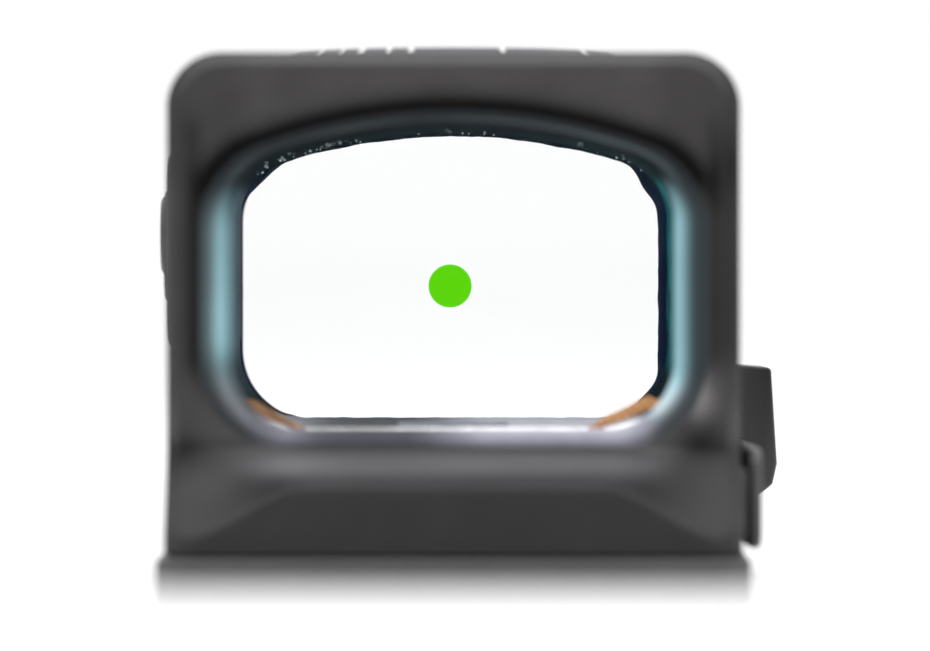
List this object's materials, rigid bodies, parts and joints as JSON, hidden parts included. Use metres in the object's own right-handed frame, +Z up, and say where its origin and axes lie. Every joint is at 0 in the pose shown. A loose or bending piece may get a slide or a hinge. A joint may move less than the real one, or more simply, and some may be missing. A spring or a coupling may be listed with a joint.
{
  "type": "enclosed reflex sight",
  "caption": "Compact enclosed red dot finder: metal housing with an arched window, tilting optical cell, roof dial and side screw for aiming, brightness buttons and sliding coin-cell tray.",
  "frame": {"origin": "centre of the housing's footprint on the plane of the mounting plate's underside", "axes": "+X to the user's right, +Y towards the front lens, +Z up from the mounting plate"},
  "size_m": [0.0346, 0.0416, 0.0296],
  "materials": {
    "anodised_housing": "matte hard anodised, fine bead-blasted",
    "anodised_cell": "matte black anodised",
    "anodised_dial": "satin anodised, white marks",
    "anodised_plate": "matte anodised",
    "window_glass": "coated, clear",
    "lens_glass": "coated, clear",
    "tray_body": "satin moulded",
    "bezel": "matte moulded",
    "button_rubber": "matte moulded",
    "coin_cell": "satin",
    "circuit_board": "satin",
    "chip": "matte",
    "black_plastic": "matte",
    "emitter": "clear, lit green",
    "amber_film": "glossy film",
    "brass": "turned",
    "contact_brass": "bright",
    "black_steel": "black oxide",
    "bright_steel": "satin",
    "spring_steel": "bright",
    "seal_rubber": "matte"
  },
  "bodies": {
    "housing": {"base_cover": "anodised_housing", "base_cover_gasket": "seal_rubber", "base_cover_screw_1": "bright_steel", "base_cover_screw_2": "bright_steel", "base_cover_screw_3": "bright_steel", "base_cover_screw_4": "bright_steel", "battery_contact_side": "contact_brass", "battery_contact_top": "contact_brass", "button_bezel": "bezel", "button_board": "circuit_board", "button_ribbon": "amber_film", "control_board": "circuit_board", "controller_chip": "chip", "elevation_click_spring": "spring_steel", "elevation_return_spring": "spring_steel", "elevation_seal": "seal_rubber", "front_window": "window_glass", "front_window_frame": "anodised_housing", "front_window_seal": "seal_rubber", "gimbal_pin_bottom": "bright_steel", "gimbal_pin_top": "bright_steel", "housing": "anodised_housing", "mounting_plate": "anodised_plate", "plate_screw_1": "black_steel", "plate_screw_2": "black_steel", "plate_screw_3": "black_steel", "plate_screw_4": "black_steel", "rear_window": "window_glass", "rear_window_seal": "seal_rubber", "switch_dome_down": "spring_steel", "switch_dome_up": "spring_steel", "windage_click_ball": "spring_steel", "windage_click_plug": "brass", "windage_click_spring": "spring_steel", "windage_return_spring": "spring_steel", "windage_seal": "seal_rubber"},
    "elevation_dial": {"elevation_dial": "anodised_dial", "elevation_clip": "spring_steel"},
    "elevation_plunger": {"elevation_plunger": "brass"},
    "windage_screw": {"windage_screw": "black_steel", "windage_clip": "spring_steel"},
    "windage_plunger": {"windage_plunger": "brass"},
    "gimbal_ring": {"gimbal_ring": "anodised_cell", "gimbal_pin_left": "bright_steel", "gimbal_pin_right": "bright_steel"},
    "optical_cell": {"cell_frame": "anodised_cell", "collimator_rear_element": "lens_glass", "collimator_front_element": "lens_glass", "lens_retainer": "anodised_cell", "led_holder": "black_plastic", "led_board": "circuit_board", "led_emitter": "emitter", "led_ribbon": "amber_film"},
    "brightness_down_button": {"brightness_down_button": "button_rubber"},
    "brightness_up_button": {"brightness_up_button": "button_rubber"},
    "battery_tray": {"battery_tray": "tray_body", "battery": "coin_cell", "tray_seal": "seal_rubber"},
    "tray_screw": {"tray_screw": "bright_steel"}
  },
  "joints": [
    {"name": "elevation_dial_turn", "type": "hinge", "parent": "housing", "child": "elevation_dial", "pos_m": [0, 0.004, 0.0285], "axis": [0, 0, 1], "range_deg": [-150, 150]},
    {"name": "elevation_plunger_slide", "type": "slide", "parent": "housing", "child": "elevation_plunger", "axis": [0, 0, 1], "range_m": [-0.00010415, 0.00010415]},
    {"name": "windage_screw_turn", "type": "hinge", "parent": "housing", "child": "windage_screw", "pos_m": [0.016, 0.011, 0.0084], "axis": [1, 0, 0], "range_deg": [-180, 180]},
    {"name": "windage_plunger_slide", "type": "slide", "parent": "housing", "child": "windage_plunger", "axis": [1, 0, 0], "range_m": [-0.00017498, 0.00017498]},
    {"name": "cell_yaw", "type": "hinge", "parent": "housing", "child": "gimbal_ring", "pos_m": [0, -0.0094, 0.0171], "axis": [0, 0, -1], "range_deg": [-0.5, 0.5]},
    {"name": "cell_pitch", "type": "hinge", "parent": "gimbal_ring", "child": "optical_cell", "pos_m": [0, -0.0094, 0.0171], "axis": [1, 0, 0], "range_deg": [-0.46, 0.46]},
    {"name": "brightness_down_press", "type": "slide", "parent": "housing", "child": "brightness_down_button", "axis": [1, 0, 0], "range_m": [0, 0.0003]},
    {"name": "brightness_up_press", "type": "slide", "parent": "housing", "child": "brightness_up_button", "axis": [1, 0, 0], "range_m": [0, 0.0003]},
    {"name": "battery_tray_slide", "type": "slide", "parent": "housing", "child": "battery_tray", "axis": [1, 0, 0], "range_m": [0, 0.0195]},
    {"name": "tray_screw_turn", "type": "hinge", "parent": "battery_tray", "child": "tray_screw", "pos_m": [0.015, 0.0056, 0.0052], "axis": [1, 0, 0], "range_deg": [0, 1440]}
  ],
  "couplings": [
    {"joint": "elevation_dial_turn", "follows": "elevation_plunger_slide", "rad_per_m": 25133},
    {"joint": "cell_pitch", "follows": "elevation_plunger_slide", "rad_per_m": 74.627},
    {"joint": "windage_screw_turn", "follows": "windage_plunger_slide", "rad_per_m": 17952},
    {"joint": "cell_yaw", "follows": "windage_plunger_slide", "rad_per_m": 49.02}
  ]
}
